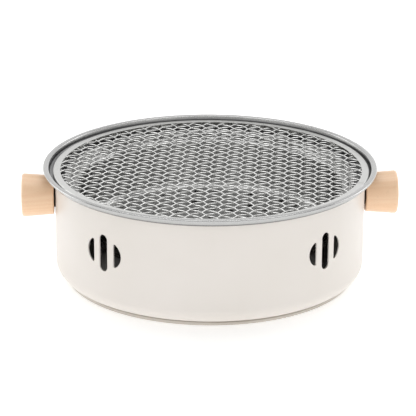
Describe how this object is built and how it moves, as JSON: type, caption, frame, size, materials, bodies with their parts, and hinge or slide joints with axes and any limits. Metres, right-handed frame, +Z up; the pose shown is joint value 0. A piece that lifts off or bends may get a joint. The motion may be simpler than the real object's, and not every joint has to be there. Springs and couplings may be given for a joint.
{
  "type": "portable tabletop grill",
  "caption": "Round charcoal grill for a table: painted pot with air slots, stainless rim and charcoal bowl, woven wire grate and two turned wooden knobs",
  "frame": {"origin": "centre of the foot ring at table level, under the middle of the grill", "axes": "+X runs through the right-hand knob, +Y points to the back, +Z points up"},
  "size_m": [0.34, 0.3, 0.103],
  "materials": {
    "painted_steel": "satin off-white stove enamel on steel",
    "foot_paint": "satin off-white paint on steel",
    "stainless": "spun stainless steel, satin",
    "tray_steel": "rolled stainless steel, satin",
    "grate_steel": "bright plated steel wire and strip",
    "beech": "clear-oiled beech",
    "brass": "plain turned brass",
    "zinc": "zinc-plated steel",
    "gasket_rubber": "matt heat-proof silicone rubber"
  },
  "bodies": {
    "pot": {"outer_shell": "painted_steel", "foot_ring": "foot_paint", "foot_screws": "zinc", "foot_washers": "zinc", "foot_nuts": "zinc", "handle_left": "beech", "handle_insert_left": "brass", "handle_screw_left": "zinc", "handle_washer_left": "zinc", "handle_lock_washer_left": "zinc", "handle_gasket_left": "gasket_rubber", "handle_right": "beech", "handle_insert_right": "brass", "handle_screw_right": "zinc", "handle_washer_right": "zinc", "handle_lock_washer_right": "zinc", "handle_gasket_right": "gasket_rubber"},
    "tray": {"ash_tray": "tray_steel"},
    "rim": {"fire_rim": "stainless"},
    "bowl": {"charcoal_bowl": "stainless"},
    "grate": {"grate_hoop": "grate_steel", "grate_wires_a": "grate_steel", "grate_wires_b": "grate_steel"}
  },
  "joints": [
    {"name": "tray_lift", "type": "slide", "parent": "pot", "child": "tray", "axis": [0, 0, 1], "range_m": [0, 0.11]},
    {"name": "rim_lift", "type": "slide", "parent": "tray", "child": "rim", "axis": [0, 0, 1], "range_m": [0, 0.04]},
    {"name": "bowl_lift", "type": "slide", "parent": "rim", "child": "bowl", "axis": [0, 0, 1], "range_m": [0, 0.085]},
    {"name": "grate_lift", "type": "slide", "parent": "bowl", "child": "grate", "axis": [0, 0, 1], "range_m": [0, 0.05]}
  ]
}
